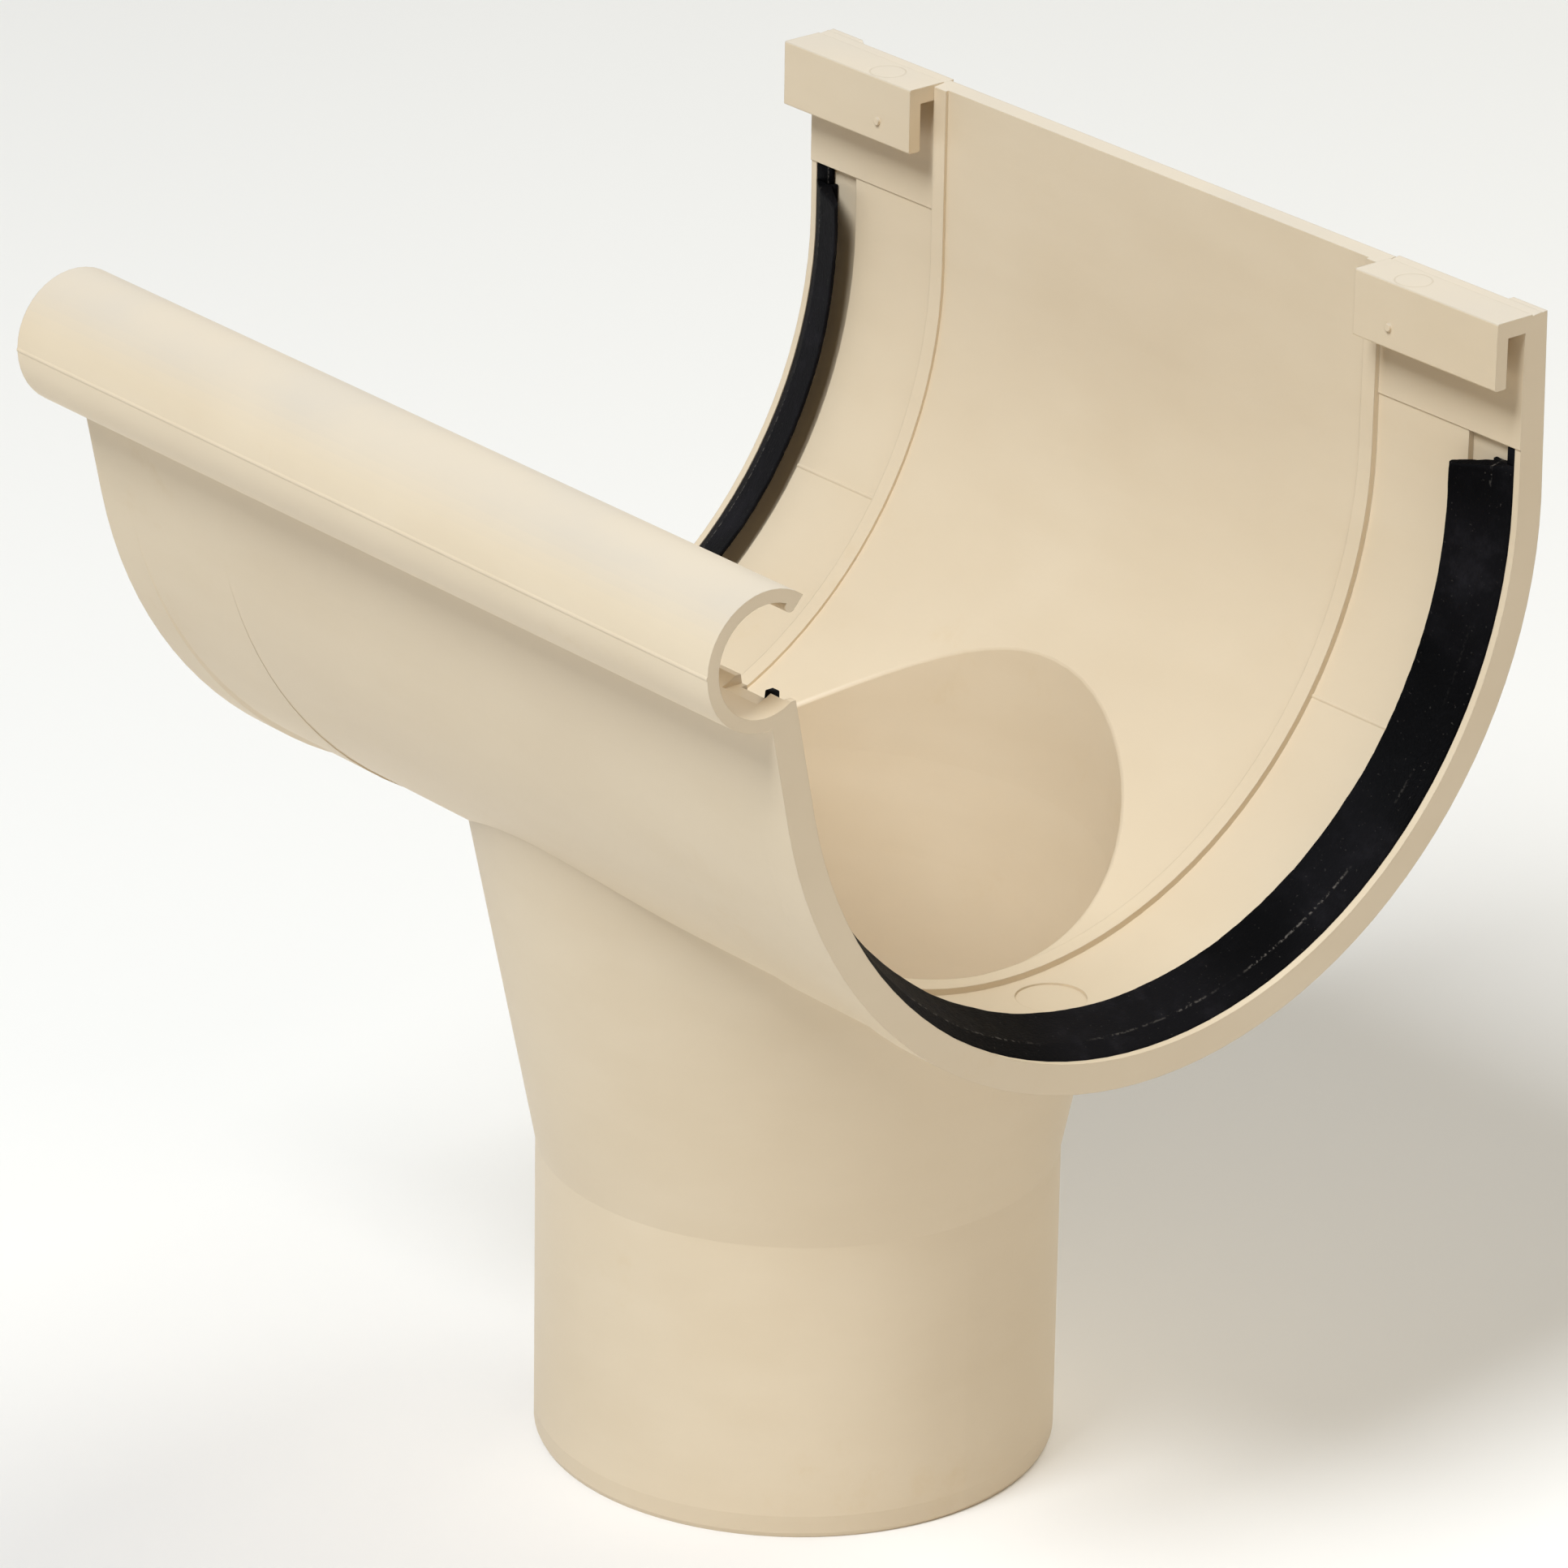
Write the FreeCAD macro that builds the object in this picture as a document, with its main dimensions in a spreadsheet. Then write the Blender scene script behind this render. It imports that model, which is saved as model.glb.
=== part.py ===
"""Running outlet for a half-round gutter, with a rubber lip seal in each socket.

X runs along the gutter, +Y points to the wall of the building, +Z is up. The origin is the
centre of the spigot's bottom rim.
"""
import FreeCAD, Part
import math
import os
import Sketcher

Vector = FreeCAD.Vector
TOUCH = 0.01

SIZES = {
    # Lengths along the gutter
    "overall_length": 160.0,
    "socket_depth": 30.0,
    "stop_rib_width": 2.8,
    "collar_width": 7.0,
    "collar_ramp": 3.8,
    "groove_margin": 1.2,
    "groove_width": 9.6,
    # Section of the trough: radii of its inner surfaces, wall by wall
    "socket_radius": 67.5,
    "socket_wall": 2.95,
    "channel_step": 0.5,
    "channel_wall": 2.75,
    "collar_rise": 1.75,
    "collar_top_rise": 1.05,
    "stop_rib_height": 1.0,
    "back_rise": 29.5,
    "front_lean": 11.5,
    # Front bead: a tube cut open towards the channel
    "bead_radius": 10.4,
    "bead_wall": 2.0,
    "bead_overhang": 7.7,
    "bead_rise": 11.9,
    "bead_mouth_offset": 5.0,
    "bead_tip_radius": 0.9,
    "bead_tip_drop": 0.55,
    "bead_tip_slant": 1.3,
    "parting_line_rise": 0.15,
    "parting_line_radius": 0.4,
    "lip_rise": 4.8,
    # Slot through the front lip, where the seal's end tag sits
    "lip_slot_margin": 4.2,
    "lip_slot_width": 7.6,
    "lip_slot_depth": 1.4,
    # Clips that hook over the gutter's back edge
    "clip_reach": 5.9,
    "clip_leg": 2.2,
    "clip_web": 2.6,
    "clip_height": 10.4,
    "clip_rounding": 0.3,
    "back_pad": 0.2,
    # Marks of the mould: torn gates on the clips, pin marks and insert lines in the sockets
    "gate_margin": 22.5,
    "gate_drop": 7.0,
    "gate_radius": 0.6,
    "gate_rise": 0.4,
    "pin_mark_radius": 5.3,
    "pin_mark_depth": 0.3,
    "pin_mark_shift": 1.0,
    "insert_line_angle": 33.2,
    "insert_line_radius": 0.4,
    "insert_line_rise": 0.15,
    # Drop and spigot
    "spigot_radius": 40.0,
    "spigot_wall": 2.7,
    "spigot_length": 48.5,
    "spigot_lead_length": 0.8,
    "spigot_lead_depth": 0.4,
    "drop_height": 44.0,
    "drop_wall": 2.5,
    "drop_flare": 8.7,
    "drop_belly": 0.3,
    "drop_mouth_rounding": 0.8,
    # Seal groove and seal
    "groove_depth": 1.0,
    "groove_rise": 8.7,
    "seal_clearance": 0.15,
    "seal_base": 0.9,
    "seal_strip_length": 2.8,
    "seal_strip_width": 1.4,
    "seal_shoulder_inset": 2.8,
    "seal_shoulder_rise": 1.8,
    "seal_tip_rise": 4.2,
    "seal_tip_thickness": 0.7,
    "seal_root_inset": 3.4,
    "seal_front_drop": 3.1,
    "seal_tag_width": 2.4,
    "seal_tag_drop": 0.5,
}


def make_sheet(doc):
    """Write the driving sizes into a sheet, one named cell each."""
    sheet = doc.addObject("Spreadsheet::Sheet", "size")
    for row, (name, value) in enumerate(SIZES.items(), start=1):
        sheet.set(f"A{row}", name)
        sheet.set(f"B{row}", str(value))
        sheet.setAlias(f"B{row}", name)
    doc.recompute()
    return sheet


def origin_feature(body, role):
    """Give the body's own origin plane or axis with this role."""
    return next(item for item in body.Origin.OriginFeatures if item.Role == role)


def new_body(doc, label):
    """Start a body at the origin under its own label."""
    body = doc.addObject("PartDesign::Body", label)
    body.Label = label
    body.Placement = FreeCAD.Placement()
    return body


def new_sketch(body, name, plane, offset="0"):
    """Attach an empty sketch to an origin plane, moved along the plane's normal."""
    sketch = body.newObject("Sketcher::SketchObject", name)
    sketch.AttachmentSupport = [(origin_feature(body, plane), "")]
    sketch.MapMode = "FlatFace"
    sketch.setExpression("AttachmentOffset.Base.z", offset)
    return sketch


def number(item, expression):
    """Work out an expression on the size sheet, from any object of the document."""
    return float(item.evalExpression(expression))


def pin_point(sketch, edge, end, across, up):
    """Bind one point of a sketch to two expressions."""
    for kind, expression in (("DistanceX", across), ("DistanceY", up)):
        index = sketch.addConstraint(
            Sketcher.Constraint(kind, -1, 1, edge, end, number(sketch, expression)))
        sketch.setExpression(f"Constraints[{index}]", expression)


def corner_point(sketch, corner):
    """Turn a pair of expressions into a point."""
    across, up = corner
    return Vector(number(sketch, across), number(sketch, up), 0)


def bind_radius(sketch, edge, radius):
    """Bind the radius of an arc or a circle to an expression."""
    place = sketch.addConstraint(Sketcher.Constraint("Radius", edge, number(sketch, radius)))
    sketch.setExpression(f"Constraints[{place}]", radius)


def arc_edge(first, last, radius, turn):
    """Make the short arc from first to last, turning left (1) or right (-1)."""
    chord = last - first
    side = Vector(-chord.y, chord.x, 0).normalize() * turn
    rise = (radius ** 2 - (chord.Length / 2) ** 2) ** 0.5
    centre = first + chord / 2 + side * rise
    middle = centre - side * radius
    return Part.Arc(first, middle, last)


def outline(sketch, corners, arcs=None, closed=True):
    """Draw edges through the corners, each corner bound to the size sheet.

    corners holds a pair of expressions for each corner, and arcs gives, for the edge that
    starts at a corner, its radius and the way it turns.
    """
    arcs = arcs or {}
    points = [corner_point(sketch, corner) for corner in corners]
    count = len(points) if closed else len(points) - 1
    for index in range(count):
        first = points[index]
        last = points[(index + 1) % len(points)]
        if index in arcs:
            radius, turn = arcs[index]
            sketch.addGeometry(arc_edge(first, last, number(sketch, radius), turn), False)
        else:
            sketch.addGeometry(Part.LineSegment(first, last), False)
    ends = [point_codes(index in arcs and arcs[index][1] < 0) for index in range(count)]
    for index in range(count - 1 if not closed else count):
        follower = (index + 1) % count
        sketch.addConstraint(
            Sketcher.Constraint("Coincident", index, ends[index][1], follower, ends[follower][0]))
    for index in range(count):
        pin_point(sketch, index, ends[index][0], *corners[index])
    if not closed:
        pin_point(sketch, count - 1, ends[-1][1], *corners[-1])
    for index, (radius, _) in arcs.items():
        bind_radius(sketch, index, radius)


def point_codes(runs_backwards):
    """Give the sketcher's codes of an edge's first and last points."""
    return (2, 1) if runs_backwards else (1, 2)


def circle(sketch, across, up, radius):
    """Draw a full circle bound to the size sheet."""
    centre = corner_point(sketch, (across, up))
    edge = sketch.addGeometry(
        Part.Circle(centre, Vector(0, 0, 1), number(sketch, radius)), False)
    bind_radius(sketch, edge, radius)
    pin_point(sketch, edge, 3, across, up)


def extrude(body, kind, sketch, length, name, both_ways=False, reverse=False):
    """Pad or pocket a sketch by a length given as an expression."""
    feature = body.newObject(f"PartDesign::{kind}", name)
    feature.Profile = sketch
    feature.Type = "Length"
    feature.setExpression("Length", length)
    if both_ways:
        feature.SideType = "Symmetric"
    feature.Reversed = reverse
    return feature


def mirror_ends(body, features, name):
    """Repeat the right end's features at the left end."""
    mirrored = body.newObject("PartDesign::Mirrored", name)
    mirrored.Originals = features
    mirrored.MirrorPlane = (origin_feature(body, "YZ_Plane"), [""])
    body.Tip = mirrored
    return mirrored


HALF_LENGTH = "size.overall_length / 2"
SOCKET_START = "size.overall_length / 2 - size.socket_depth"
CHANNEL_RADIUS = "(size.socket_radius - size.channel_step)"
FLOOR_HEIGHT = "(size.spigot_length + size.drop_height)"
AXIS_HEIGHT = f"({FLOOR_HEIGHT} + {CHANNEL_RADIUS})"
BACK_TOP = f"({AXIS_HEIGHT} + size.back_rise)"
BEAD_ACROSS = "-(size.socket_radius + size.bead_overhang)"
BEAD_UP = f"({AXIS_HEIGHT} + size.bead_rise)"
MOUTH_ACROSS = f"{BEAD_ACROSS} + size.bead_mouth_offset"
SOCKET_OUTER = "size.socket_radius + size.socket_wall"
CHANNEL_OUTER = f"{CHANNEL_RADIUS} + size.channel_wall"
COLLAR_OUTER = "size.socket_radius + size.socket_wall + size.collar_rise"
GROOVE_RADIUS = "size.socket_radius + size.groove_depth"
GROOVE_TOP = f"({AXIS_HEIGHT} + size.groove_rise)"
GROOVE_END = "size.overall_length / 2 - size.groove_margin"
SLOT_END = "size.overall_length / 2 - size.lip_slot_margin"
LIP_UP = f"({AXIS_HEIGHT} + size.lip_rise)"
SEAL_BACK_UP = f"({GROOVE_TOP} - size.seal_strip_length)"
SEAL_FRONT_UP = f"({LIP_UP} - size.seal_front_drop)"
OPEN_HEIGHT = f"({BACK_TOP} + size.bead_radius)"
GATE_ALONG = f"({HALF_LENGTH} - size.gate_margin)"
SPIGOT_BORE = "(size.spigot_radius - size.spigot_wall)"
SPIGOT_TOP = "(size.spigot_length - size.spigot_wall)"
MOUTH_RADIUS = f"({SPIGOT_BORE} + size.drop_flare)"
# How far up from the spigot to the trough's floor the corners of the water-way's wall lie
WALL_STEPS = (0, 0.33, 0.67, 1, 1.5, 2)


def lean_point(radius, up):
    """Give the point at a height on the straight front wall of a trough of this radius."""
    across = (f"-({radius}) / cos(size.front_lean)"
              f" - ({up} - {AXIS_HEIGHT}) * tan(size.front_lean)")
    return across, up


def lean_start(radius):
    """Give the point where the trough's arc runs into its leaning front wall."""
    return (f"-({radius}) * cos(size.front_lean)",
            f"{AXIS_HEIGHT} - ({radius}) * sin(size.front_lean)")


def trough_sketch(body, name, radius, offset="0", top_across=None):
    """Draw the filled outside of the trough, from its back edge round to the bead's centre.

    The leaning front wall is flush from end to end, and the steps grow from there down.
    """
    sketch = new_sketch(body, name, "YZ_Plane", offset)
    corners = [
        (top_across or radius, BACK_TOP),
        lean_point(COLLAR_OUTER, BEAD_UP),
        lean_start(COLLAR_OUTER),
        ("0", f"{AXIS_HEIGHT} - ({radius})"),
        (radius, AXIS_HEIGHT),
    ]
    outline(sketch, corners, {2: (radius, 1), 3: (radius, 1)})
    return sketch


def channel_sketch(body, name, radius, offset="0"):
    """Draw the open space of the trough, up past the mouth of the bead."""
    sketch = new_sketch(body, name, "YZ_Plane", offset)
    mouth_up = (f"{AXIS_HEIGHT} - ({radius}) / sin(size.front_lean)"
                f" - ({MOUTH_ACROSS}) / tan(size.front_lean)")
    corners = [
        (radius, OPEN_HEIGHT),
        (MOUTH_ACROSS, OPEN_HEIGHT),
        (MOUTH_ACROSS, mouth_up),
        lean_start(radius),
        ("0", f"{AXIS_HEIGHT} - ({radius})"),
        (radius, AXIS_HEIGHT),
    ]
    outline(sketch, corners, {3: (radius, 1), 4: (radius, 1)})
    return sketch


def add_trough(body):
    """Build the filled trough: its middle, its sockets and the collars round their ends.

    Each collar rises from its socket on a ramp, which is a tapered copy of the collar.
    """
    extrude(body, "Pad", trough_sketch(body, "channel_outside", CHANNEL_OUTER),
            f"2 * ({SOCKET_START})", "channel_block", both_ways=True)
    socket = extrude(body, "Pad",
                     trough_sketch(body, "socket_outside", SOCKET_OUTER, SOCKET_START),
                     "size.socket_depth", "socket_block")
    collar_start = f"{HALF_LENGTH} - size.collar_width"
    collar_top = "size.socket_radius + size.socket_wall + size.collar_top_rise"
    collar = extrude(body, "Pad",
                     trough_sketch(body, "collar_outside", COLLAR_OUTER, collar_start, collar_top),
                     "size.collar_width", "collar_block")
    ramp = extrude(body, "Pad",
                   trough_sketch(body, "ramp_outside", COLLAR_OUTER, collar_start, collar_top),
                   "size.collar_ramp", "collar_ramp_block", reverse=True)
    ramp.setExpression("TaperAngle", "-atan(size.collar_rise / size.collar_ramp)")
    mirror_ends(body, [socket, collar, ramp], "left_end_outside")


def wall_distance(sheet, point):
    """Tell how far out from the trough's axis a point lies, square to the wall beside it."""
    rise = point.z - number(sheet, AXIS_HEIGHT)
    lean = math.radians(sheet.front_lean)
    if point.y < 0 and rise > point.y * math.tan(lean):
        return -point.y * math.cos(lean) - rise * math.sin(lean)
    if rise > 0:
        return point.y
    return math.hypot(point.y, rise)


def drop_radius(up):
    """Give the drop's outer radius at a height above the spigot."""
    growth = f"({MOUTH_RADIUS} + size.drop_wall - size.spigot_radius) / size.drop_height"
    return f"size.spigot_radius + ({up} - size.spigot_length) * {growth}"


def add_drop(body):
    """Turn the outside of the tapered drop and its spigot."""
    sketch = new_sketch(body, "drop_outside", "XZ_Plane")
    corners = [
        ("0", "0"),
        ("size.spigot_radius - size.spigot_lead_depth", "0"),
        ("size.spigot_radius", "size.spigot_lead_length"),
        ("size.spigot_radius", "size.spigot_length"),
        (drop_radius(AXIS_HEIGHT), AXIS_HEIGHT),
        ("0", AXIS_HEIGHT),
    ]
    outline(sketch, corners)
    drop = body.newObject("PartDesign::Revolution", "drop_block")
    drop.Profile = sketch
    drop.ReferenceAxis = (sketch, ["V_Axis"])
    drop.Angle = 360


def add_bead(body):
    """Lay a solid bar along the front edge, to be bored out into the bead."""
    sketch = new_sketch(body, "bead_outside", "YZ_Plane")
    circle(sketch, BEAD_ACROSS, BEAD_UP, "size.bead_radius")
    extrude(body, "Pad", sketch, "size.overall_length", "bead_bar", both_ways=True)


def cut_channel(body):
    """Open the trough, leaving a stop rib at the inner end of each socket."""
    rib_start = f"{SOCKET_START} - size.stop_rib_width"
    extrude(body, "Pocket", channel_sketch(body, "channel_inside", CHANNEL_RADIUS),
            f"2 * ({rib_start})", "channel", both_ways=True)
    extrude(body, "Pocket",
            channel_sketch(body, "rib_inside", "size.socket_radius - size.stop_rib_height"),
            f"2 * ({SOCKET_START})", "stop_ribs", both_ways=True)
    cutter = channel_sketch(body, "socket_inside", "size.socket_radius", SOCKET_START)
    socket = extrude(body, "Pocket", cutter, "size.socket_depth", "socket", reverse=True)
    mirror_ends(body, [socket], "left_socket")


def bore_bead(body):
    """Bore the front bar, which leaves a bead that is open along its mouth."""
    sketch = new_sketch(body, "bead_inside", "YZ_Plane")
    circle(sketch, BEAD_ACROSS, BEAD_UP, "size.bead_radius - size.bead_wall")
    extrude(body, "Pocket", sketch, "size.overall_length", "bead_bore", both_ways=True)


def water_way_wall():
    """Give the corners of the water-way's bellied wall, from the spigot up into the trough.

    They lie on a parabola that bulges from the straight line between spigot and trough floor.
    """
    corners = []
    for step in WALL_STEPS:
        bulge = f"4 * size.drop_belly * {step} * (1 - {step})"
        corners.append((f"{SPIGOT_BORE} + size.drop_flare * {step} + {bulge}",
                        f"{SPIGOT_TOP} + (size.drop_height + size.spigot_wall) * {step}"))
    return corners


def bore_drop(body):
    """Turn the water way through the drop and the spigot."""
    sketch = new_sketch(body, "drop_inside", "XZ_Plane")
    wall = water_way_wall()
    top_across = wall[-1][0]
    outline(sketch, [
        ("0", "-size.spigot_wall"),
        (SPIGOT_BORE, "-size.spigot_wall"),
        *wall,
        (top_across, AXIS_HEIGHT),
        ("0", AXIS_HEIGHT),
    ])
    groove = body.newObject("PartDesign::Groove", "water_way")
    groove.Profile = sketch
    groove.ReferenceAxis = (sketch, ["V_Axis"])
    groove.Angle = 360


def water_way_radius(sheet, up):
    """Give the water-way's radius at a height, between two corners of its wall."""
    corners = [corner_point(sheet, corner) for corner in water_way_wall()]
    for low, high in zip(corners, corners[1:]):
        if low.y <= up <= high.y:
            return low.x + (high.x - low.x) * (up - low.y) / (high.y - low.y)
    return 0


def trim_lip(body):
    """Level the front wall's sharp edge along its whole length."""
    sketch = new_sketch(body, "lip_section", "YZ_Plane")
    near = f"{MOUTH_ACROSS} + size.bead_wall"
    far = f"{MOUTH_ACROSS} - size.bead_wall"
    outline(sketch, [(near, LIP_UP), (near, BEAD_UP), (far, BEAD_UP), (far, LIP_UP)])
    extrude(body, "Pocket", sketch, "size.overall_length", "lip", both_ways=True)


def bead_up(radius, offset):
    """Give the height on the upper half of a circle round the bead's centre."""
    return f"{BEAD_UP} + sqrt(pow({radius}; 2) - pow({offset}; 2))"


def shape_bead_tip(body):
    """Thicken the bead's free edge with a rounded bar, and end it in a slanted face."""
    corner_up = bead_up("size.bead_radius - size.bead_wall", "size.bead_mouth_offset")
    bar = new_sketch(body, "bead_tip_section", "YZ_Plane")
    circle(bar, f"{MOUTH_ACROSS} - size.bead_tip_radius",
           f"{corner_up} + size.bead_tip_radius - size.bead_tip_drop", "size.bead_tip_radius")
    extrude(body, "Pad", bar, "size.overall_length", "bead_tip", both_ways=True)

    face = new_sketch(body, "bead_slant_section", "YZ_Plane")
    slant = "size.bead_mouth_offset + size.bead_tip_slant"
    outline(face, [
        (f"{MOUTH_ACROSS} - size.bead_tip_radius", f"{corner_up} + size.bead_tip_radius"),
        (MOUTH_ACROSS, corner_up),
        (f"{MOUTH_ACROSS} + size.bead_tip_slant", bead_up("size.bead_radius", slant)),
        (MOUTH_ACROSS, bead_up("size.bead_radius", "size.bead_mouth_offset")),
    ])
    extrude(body, "Pad", face, "size.overall_length", "bead_slant", both_ways=True)


def cut_seal_seat(body):
    """Cut the right end's seal groove, and the slot for the seal's tag in the front lip."""
    groove = new_sketch(body, "groove_section", "YZ_Plane", GROOVE_END)
    corners = [
        (GROOVE_RADIUS, GROOVE_TOP),
        lean_point(GROOVE_RADIUS, BEAD_UP),
        lean_start(GROOVE_RADIUS),
        ("0", f"{AXIS_HEIGHT} - ({GROOVE_RADIUS})"),
        (GROOVE_RADIUS, AXIS_HEIGHT),
    ]
    outline(groove, corners, {2: (GROOVE_RADIUS, 1), 3: (GROOVE_RADIUS, 1)})
    seal_groove = extrude(body, "Pocket", groove, "size.groove_width", "seal_groove")

    slot = new_sketch(body, "lip_slot_section", "YZ_Plane", SLOT_END)
    near = f"{MOUTH_ACROSS} + size.bead_wall"
    far = f"{MOUTH_ACROSS} - size.bead_wall - size.groove_depth"
    foot_up = f"{LIP_UP} - size.lip_slot_depth"
    outline(slot, [(near, foot_up), (near, LIP_UP), (far, LIP_UP), (far, foot_up)])
    lip_slot = extrude(body, "Pocket", slot, "size.lip_slot_width", "lip_slot")
    return [seal_groove, lip_slot]


def add_clip(body):
    """Build the right end's hook for the gutter's back edge, and the pad behind it."""
    front = "size.socket_radius - size.clip_reach"
    slot_front = f"{front} + size.clip_leg"
    leg_foot = f"{BACK_TOP} - size.clip_height"
    web_foot = f"{BACK_TOP} - size.clip_web"
    anchor = "size.socket_radius + size.groove_depth"
    hook = new_sketch(body, "clip_section", "YZ_Plane", SOCKET_START)
    outline(hook, [
        (anchor, BACK_TOP),
        (front, BACK_TOP),
        (front, leg_foot),
        (slot_front, leg_foot),
        (slot_front, web_foot),
        (anchor, web_foot),
    ])
    clip = extrude(body, "Pad", hook, "size.socket_depth", "clip")

    pad_face = "size.socket_radius - size.back_pad"
    step = new_sketch(body, "back_pad_section", "YZ_Plane", SOCKET_START)
    outline(step, [
        (anchor, web_foot),
        (pad_face, web_foot),
        (pad_face, GROOVE_TOP),
        (anchor, GROOVE_TOP),
    ])
    back_pad = extrude(body, "Pad", step, "size.socket_depth", "back_pad")
    return [clip, back_pad]


def add_mould_marks(body):
    """Leave the right end's gate stub, pin mark and insert line."""
    stub = new_sketch(body, "gate_section", "XZ_Plane", "size.clip_reach - size.socket_radius")
    circle(stub, GATE_ALONG, f"{BACK_TOP} - size.gate_drop", "size.gate_radius")
    gate = extrude(body, "Pad", stub, "size.gate_rise", "gate_stub")

    socket_floor = f"{AXIS_HEIGHT} - size.socket_radius"
    disc = new_sketch(body, "pin_mark_section", "XY_Plane", f"{socket_floor} - size.pin_mark_depth")
    circle(disc, GATE_ALONG, "-size.pin_mark_shift", "size.pin_mark_radius")
    pin_mark = extrude(body, "Pocket", disc, "size.pin_mark_radius", "pin_mark", reverse=True)

    line = new_sketch(body, "insert_line_section", "YZ_Plane", SOCKET_START)
    buried = "(size.socket_radius + size.insert_line_radius - size.insert_line_rise)"
    circle(line, f"{buried} * cos(size.insert_line_angle)",
           f"{AXIS_HEIGHT} - {buried} * sin(size.insert_line_angle)", "size.insert_line_radius")
    insert_line = extrude(body, "Pad", line,
                          "size.socket_depth - size.groove_margin - size.groove_width",
                          "insert_line")
    return [gate, pin_mark, insert_line]


def add_parting_line(body):
    """Leave the fine ridge where the mould parted along the front of the bead."""
    sketch = new_sketch(body, "parting_line_section", "YZ_Plane")
    reach = "size.bead_radius + size.parting_line_rise - size.parting_line_radius"
    circle(sketch, f"{BEAD_ACROSS} - ({reach})", BEAD_UP, "size.parting_line_radius")
    extrude(body, "Pad", sketch, "size.overall_length", "parting_line", both_ways=True)


def make_outlet(doc):
    """Build the moulded body of the outlet."""
    body = new_body(doc, "outlet_body")
    add_trough(body)
    add_drop(body)
    add_bead(body)
    cut_channel(body)
    bore_bead(body)
    bore_drop(body)
    trim_lip(body)
    shape_bead_tip(body)
    add_parting_line(body)
    mirror_ends(body, cut_seal_seat(body) + add_clip(body) + add_mould_marks(body),
                "left_end_inside")
    round_edges(body, "drop_mouth_rounding", on_drop_mouth)
    round_edges(body, "clip_rounding", on_clip_leg)
    return body


def round_edges(body, size_name, belongs):
    """Round the edges whose every tested point belongs, by the radius of that name."""
    sheet = body.Document.getObject("size")
    body.Document.recompute()
    before = body.Tip
    names = []
    for index, edge in enumerate(body.Shape.Edges, start=1):
        first, last = edge.ParameterRange
        points = [edge.valueAt(first + (last - first) * share) for share in (0.25, 0.5, 0.75)]
        if all(belongs(sheet, point) for point in points):
            names.append(f"Edge{index}")
    rounded = body.newObject("PartDesign::Fillet", size_name)
    rounded.Base = (before, names)
    rounded.setExpression("Radius", f"size.{size_name}")


def on_drop_mouth(sheet, point):
    """Tell whether a point lies where the drop opens into the channel."""
    if point.z > number(sheet, AXIS_HEIGHT):
        return False
    away = math.hypot(point.x, point.y)
    on_water_way = abs(away - water_way_radius(sheet, point.z)) < TOUCH
    return on_water_way and abs(wall_distance(sheet, point) - number(sheet, CHANNEL_RADIUS)) < TOUCH


def on_clip_leg(sheet, point):
    """Tell whether a point lies on a clip leg's foot or on the clip's top front edge."""
    front = sheet.socket_radius - sheet.clip_reach
    top_up = number(sheet, BACK_TOP)
    foot_up = top_up - sheet.clip_height
    on_faces = min(abs(point.y - front), abs(point.y - front - sheet.clip_leg)) < TOUCH
    on_foot = on_faces and abs(point.z - foot_up) < TOUCH
    on_top = abs(point.y - front) < TOUCH and abs(point.z - top_up) < TOUCH
    return on_foot or on_top


def seal_corners(side):
    """Give the seal's section: a base in the groove and a flap that leans to the middle."""
    surface = "size.socket_radius"
    floor = f"{GROOVE_RADIUS} - size.seal_clearance"
    base_top = f"{floor} - size.seal_base"
    outer = f"{HALF_LENGTH} - size.groove_margin - size.seal_clearance"
    inner = f"{HALF_LENGTH} - size.groove_margin - size.groove_width + size.seal_clearance"
    root = f"{outer} - size.seal_root_inset"
    corners = [
        (outer, floor),
        (outer, base_top),
        (f"{outer} - size.seal_shoulder_inset", f"{surface} - size.seal_shoulder_rise"),
        (inner, f"{surface} - size.seal_tip_rise"),
        (inner, f"{surface} - size.seal_tip_rise + size.seal_tip_thickness"),
        (root, base_top),
        (inner, base_top),
        (inner, floor),
    ]
    return [(f"{side} * ({along})", depth) for along, depth in corners]


def make_seal(doc, label, side):
    """Sweep the lip seal round its groove, from the back wall to the front lip."""
    body = new_body(doc, label)
    section = new_sketch(body, f"{label}_section", "XY_Plane", SEAL_BACK_UP)
    outline(section, seal_corners(side))
    path = new_sketch(body, f"{label}_path", "YZ_Plane", f"{side} * ({GROOVE_END})")
    line_radius = "size.socket_radius"
    outline(path, [
        (line_radius, SEAL_BACK_UP),
        (line_radius, AXIS_HEIGHT),
        ("0", f"{AXIS_HEIGHT} - {line_radius}"),
        lean_start(line_radius),
        lean_point(line_radius, SEAL_FRONT_UP),
    ], {1: (line_radius, -1), 2: (line_radius, -1)}, closed=False)
    seal = body.newObject("PartDesign::AdditivePipe", f"{label}_sweep")
    seal.Profile = section
    seal.Spine = path
    seal.Mode = "Frenet"

    strip = new_sketch(body, f"{label}_strip_section", "XY_Plane", SEAL_BACK_UP)
    corners = seal_corners(side)
    strip_inner = (f"{side} * ({HALF_LENGTH} - size.groove_margin - size.seal_clearance"
                   f" - size.seal_strip_width)")
    outline(strip, [corners[0], corners[1], (strip_inner, corners[1][1]),
                    (strip_inner, corners[0][1])])
    extrude(body, "Pad", strip,
            "size.seal_strip_length - size.seal_clearance",
            f"{label}_strip")
    add_seal_tag(body, label, side)
    return body


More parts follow.
